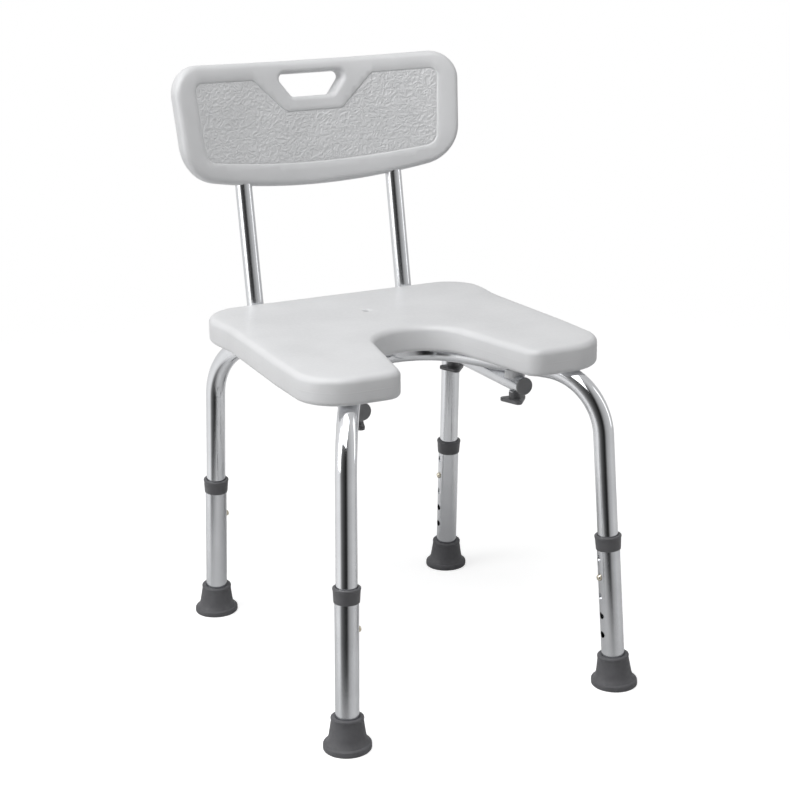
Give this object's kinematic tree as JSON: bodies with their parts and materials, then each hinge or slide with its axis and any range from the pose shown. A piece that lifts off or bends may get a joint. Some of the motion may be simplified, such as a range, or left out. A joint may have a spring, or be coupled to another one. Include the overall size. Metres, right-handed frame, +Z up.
{
  "type": "shower chair",
  "caption": "Height-adjustable shower chair: moulded seat with a front cut-out, moulded backrest with a hand hole, and bent tube legs on flared rubber feet.",
  "frame": {"origin": "middle of the bounding box at floor level", "axes": "+Z up, -Y the sitter's front, +X to the right for someone facing the chair"},
  "size_m": [0.4274, 0.5436, 0.7494],
  "materials": {
    "moulded_plastic": "satin blow-moulded polyethylene",
    "polished_tube": "polished",
    "satin_tube": "bright satin anodised",
    "grey_rubber": "matt",
    "grey_plastic": "satin",
    "dark_plastic": "satin",
    "steel": "zinc plated",
    "spring_steel": "bright",
    "button_metal": "nickel plated",
    "brass_insert": "machined"
  },
  "bodies": {
    "frame": {"seat": "moulded_plastic", "backrest": "moulded_plastic", "seat_inserts": "brass_insert", "back_screws": "steel", "front_bow": "polished_tube", "rear_bow": "polished_tube", "rail_left": "satin_tube", "rail_plug_left": "dark_plastic", "rail_right": "satin_tube", "rail_plug_right": "dark_plastic", "saddle_front_left": "dark_plastic", "washer_front_left": "steel", "leaf_spring_front_left": "spring_steel", "saddle_front_right": "dark_plastic", "washer_front_right": "steel", "leaf_spring_front_right": "spring_steel", "saddle_rear_left": "dark_plastic", "washer_rear_left": "steel", "leaf_spring_rear_left": "spring_steel", "saddle_rear_right": "dark_plastic", "washer_rear_right": "steel", "leaf_spring_rear_right": "spring_steel"},
    "leg_front_left": {"leg_tube_front_left": "satin_tube", "collar_front_left": "grey_plastic", "foot_front_left": "grey_rubber"},
    "button_front_left": {"snap_button_front_left": "button_metal"},
    "knob_front_left": {"knob_front_left": "dark_plastic", "knob_stud_front_left": "steel"},
    "leg_front_right": {"leg_tube_front_right": "satin_tube", "collar_front_right": "grey_plastic", "foot_front_right": "grey_rubber"},
    "button_front_right": {"snap_button_front_right": "button_metal"},
    "knob_front_right": {"knob_front_right": "dark_plastic", "knob_stud_front_right": "steel"},
    "leg_rear_left": {"leg_tube_rear_left": "satin_tube", "collar_rear_left": "grey_plastic", "foot_rear_left": "grey_rubber"},
    "button_rear_left": {"snap_button_rear_left": "button_metal"},
    "knob_rear_left": {"knob_rear_left": "dark_plastic", "knob_stud_rear_left": "steel"},
    "leg_rear_right": {"leg_tube_rear_right": "satin_tube", "collar_rear_right": "grey_plastic", "foot_rear_right": "grey_rubber"},
    "button_rear_right": {"snap_button_rear_right": "button_metal"},
    "knob_rear_right": {"knob_rear_right": "dark_plastic", "knob_stud_rear_right": "steel"}
  },
  "joints": [
    {"name": "leg_front_left_height", "type": "slide", "parent": "frame", "child": "leg_front_left", "axis": [0.0399, 0.0489, 0.998], "range_m": [-0.0254, 0.0762], "deforming": ["snap_button_front_left"]},
    {"name": "button_front_left_press", "type": "slide", "parent": "frame", "child": "button_front_left", "axis": [0.9992, -0.002, -0.0399], "range_m": [0, 0.005], "stiffness_N_per_m": 1200, "springref_m": -0.002},
    {"name": "knob_front_left_turn", "type": "hinge", "parent": "frame", "child": "knob_front_left", "pos_m": [-0.11, -0.11722, 0.36], "axis": [0, 0, 1], "continuous": true},
    {"name": "leg_front_right_height", "type": "slide", "parent": "frame", "child": "leg_front_right", "axis": [-0.0399, 0.0489, 0.998], "range_m": [-0.0254, 0.0762], "deforming": ["snap_button_front_right"]},
    {"name": "button_front_right_press", "type": "slide", "parent": "frame", "child": "button_front_right", "axis": [-0.9992, -0.002, -0.0399], "range_m": [0, 0.005], "stiffness_N_per_m": 1200, "springref_m": -0.002},
    {"name": "knob_front_right_turn", "type": "hinge", "parent": "frame", "child": "knob_front_right", "pos_m": [0.11, -0.11722, 0.36], "axis": [0, 0, 1], "continuous": true},
    {"name": "leg_rear_left_height", "type": "slide", "parent": "frame", "child": "leg_rear_left", "axis": [0.0106, -0.0793, 0.9968], "range_m": [-0.0254, 0.0762], "deforming": ["snap_button_rear_left"]},
    {"name": "button_rear_left_press", "type": "slide", "parent": "frame", "child": "button_rear_left", "axis": [0.9999, 0.0008, -0.0105], "range_m": [0, 0.005], "stiffness_N_per_m": 1200, "springref_m": -0.002},
    {"name": "knob_rear_left_turn", "type": "hinge", "parent": "frame", "child": "knob_rear_left", "pos_m": [-0.11, 0.04753, 0.36], "axis": [0, 0, 1], "continuous": true},
    {"name": "leg_rear_right_height", "type": "slide", "parent": "frame", "child": "leg_rear_right", "axis": [-0.0106, -0.0793, 0.9968], "range_m": [-0.0254, 0.0762], "deforming": ["snap_button_rear_right"]},
    {"name": "button_rear_right_press", "type": "slide", "parent": "frame", "child": "button_rear_right", "axis": [-0.9999, 0.0008, -0.0105], "range_m": [0, 0.005], "stiffness_N_per_m": 1200, "springref_m": -0.002},
    {"name": "knob_rear_right_turn", "type": "hinge", "parent": "frame", "child": "knob_rear_right", "pos_m": [0.11, 0.04753, 0.36], "axis": [0, 0, 1], "continuous": true}
  ]
}
